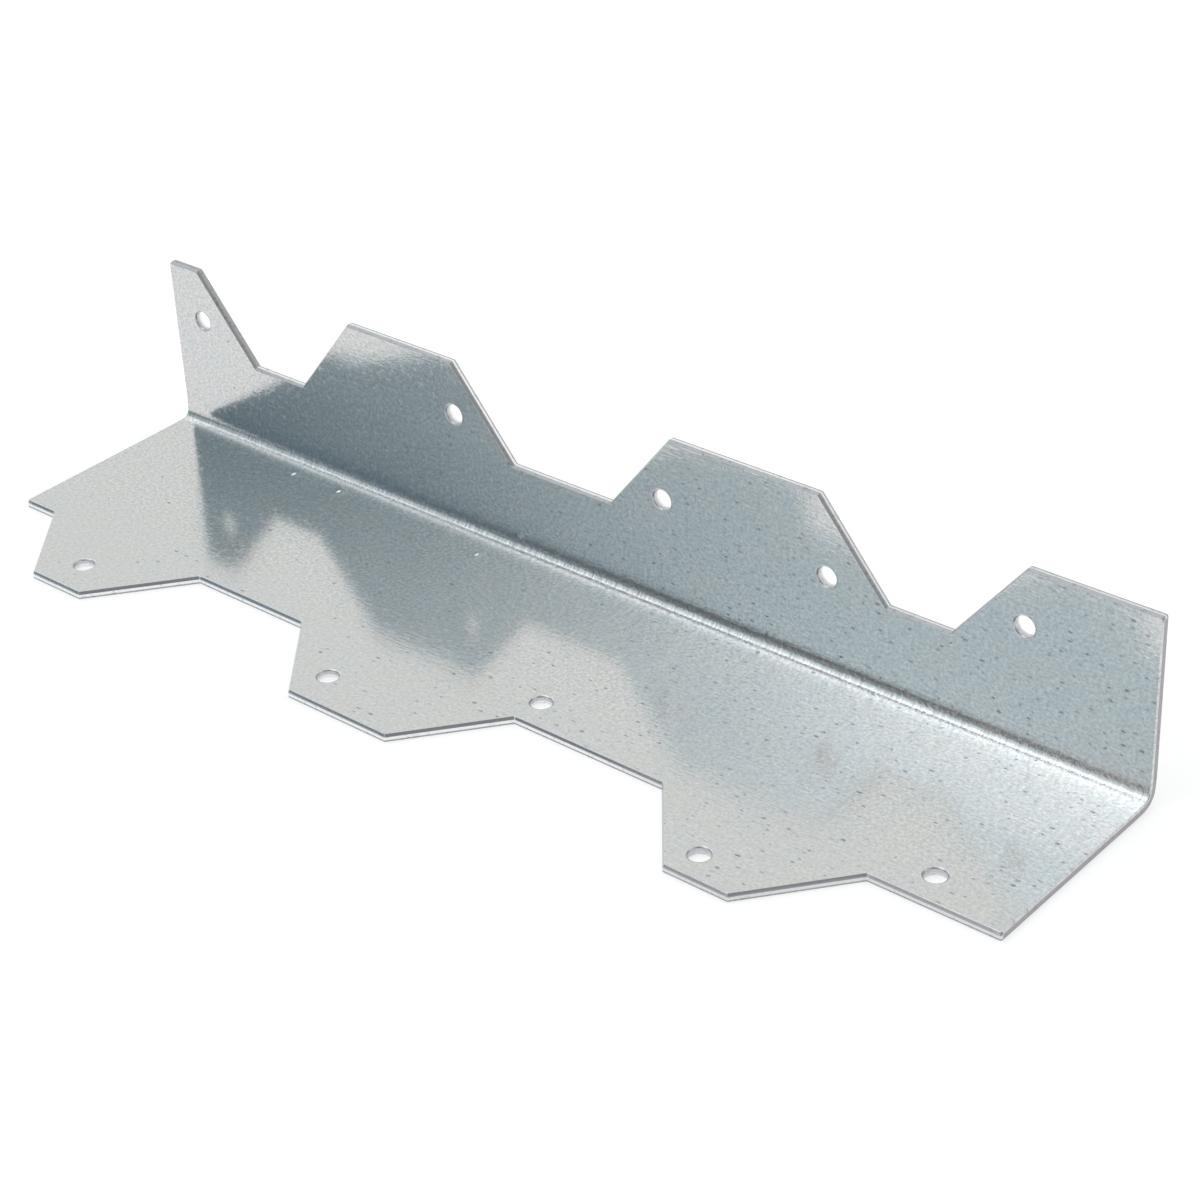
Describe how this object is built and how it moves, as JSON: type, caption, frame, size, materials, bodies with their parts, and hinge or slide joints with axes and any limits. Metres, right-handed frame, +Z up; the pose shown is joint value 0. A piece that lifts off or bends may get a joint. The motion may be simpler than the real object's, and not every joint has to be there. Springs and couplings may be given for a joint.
{
  "type": "reinforcing angle",
  "caption": "Folded galvanised steel angle with toothed legs and punched nail holes, for tying timbers square to each other.",
  "frame": {"origin": "middle of the footprint, on the face that the long leg rests on", "axes": "+X along the fold, +Y towards the standing leg at the back, +Z up"},
  "size_m": [0.2286, 0.0628, 0.0364],
  "materials": {
    "galvanised_steel": "satin hot-dip zinc with fine grain, brighter on sheared edges"
  },
  "bodies": {
    "root": {"reinforcing_angle": "galvanised_steel"}
  },
  "joints": []
}
